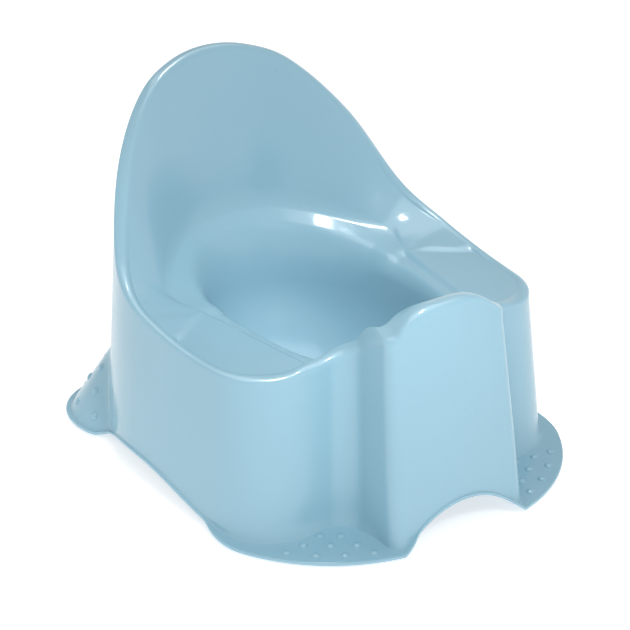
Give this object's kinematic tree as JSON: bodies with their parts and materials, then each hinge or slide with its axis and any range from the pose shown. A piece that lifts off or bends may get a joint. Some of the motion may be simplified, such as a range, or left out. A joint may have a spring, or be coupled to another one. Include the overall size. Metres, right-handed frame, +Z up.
{
  "type": "potty training chair",
  "caption": "One-piece moulded potty chair with a high wrap-around backrest, deep oval bowl, wings, front splash guard, studded foot flanges and anti-slip pads.",
  "frame": {"origin": "on the floor, under the middle of the overall box", "axes": "+Z up; -Y is the front, with the splash guard; +Y is the backrest; the chair is the same on both sides of X = 0"},
  "size_m": [0.2928, 0.3426, 0.2605],
  "materials": {
    "pale_blue_plastic": "glossy moulded, pale blue",
    "grey_rubber": "matt grey rubber"
  },
  "bodies": {
    "root": {"potty_shell": "pale_blue_plastic", "anti_slip_pad_front_left": "grey_rubber", "anti_slip_pad_front_right": "grey_rubber", "anti_slip_pad_rear_left": "grey_rubber", "anti_slip_pad_rear_right": "grey_rubber"}
  },
  "joints": []
}
